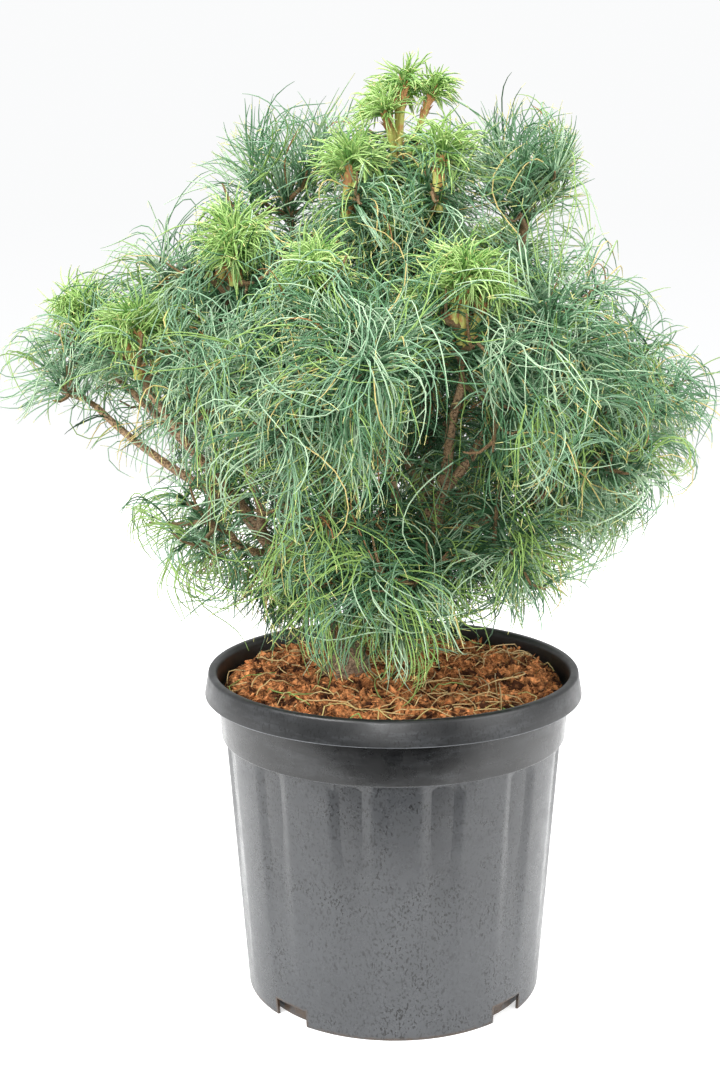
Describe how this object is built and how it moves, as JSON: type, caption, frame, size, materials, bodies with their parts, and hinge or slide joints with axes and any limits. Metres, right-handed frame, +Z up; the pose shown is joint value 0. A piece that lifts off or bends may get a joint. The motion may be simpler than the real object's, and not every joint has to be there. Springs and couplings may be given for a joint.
{
  "type": "potted eastern white pine",
  "caption": "Potted eastern white pine with long twisted drooping needles on a low forked trunk, in a fluted dark nursery pot full of coir.",
  "frame": {"origin": "centre of the pot's flat underside, on the ground", "axes": "+Z up through the crown, -Y to the front that the picture shows, +X to the right as seen from the front"},
  "size_m": [0.6244, 0.5357, 0.7636],
  "materials": {
    "pot_plastic": "satin, scuffed",
    "coir": "rough fibres and chips",
    "bark": "rough bark",
    "needles": "satin needles"
  },
  "bodies": {
    "root": {"bough_back": "bark", "bough_back_left": "bark", "bough_back_left_high": "bark", "bough_back_right": "bark", "bough_back_right_high": "bark", "bough_cascade": "bark", "bough_far_right": "bark", "bough_front": "bark", "bough_left_candle": "bark", "bough_left_fall": "bark", "bough_left_high": "bark", "bough_left_low": "bark", "bough_low_left": "bark", "bough_low_right": "bark", "bough_middle": "bark", "bough_mop": "bark", "bough_right": "bark", "bough_right_fall": "bark", "bough_shoulder": "bark", "bough_top_left": "bark", "bough_top_right": "bark", "leader_left": "bark", "leader_right": "bark", "leader_top": "bark", "needles_back": "needles", "needles_back_left": "needles", "needles_back_left_high": "needles", "needles_back_right": "needles", "needles_back_right_high": "needles", "needles_cascade": "needles", "needles_crest": "needles", "needles_crest_back": "needles", "needles_crest_left": "needles", "needles_crest_right": "needles", "needles_far_right": "needles", "needles_front": "needles", "needles_front_fall": "needles", "needles_left_candle": "needles", "needles_left_fall": "needles", "needles_left_high": "needles", "needles_left_low": "needles", "needles_left_whorl": "needles", "needles_low_back_left": "needles", "needles_low_back_right": "needles", "needles_low_front": "needles", "needles_low_front_right": "needles", "needles_low_left": "needles", "needles_low_middle": "needles", "needles_low_right": "needles", "needles_middle": "needles", "needles_mop": "needles", "needles_right": "needles", "needles_right_fall": "needles", "needles_shoulder": "needles", "needles_top_left": "needles", "needles_top_right": "needles", "pot": "pot_plastic", "substrate": "coir", "trunk": "bark"}
  },
  "joints": []
}
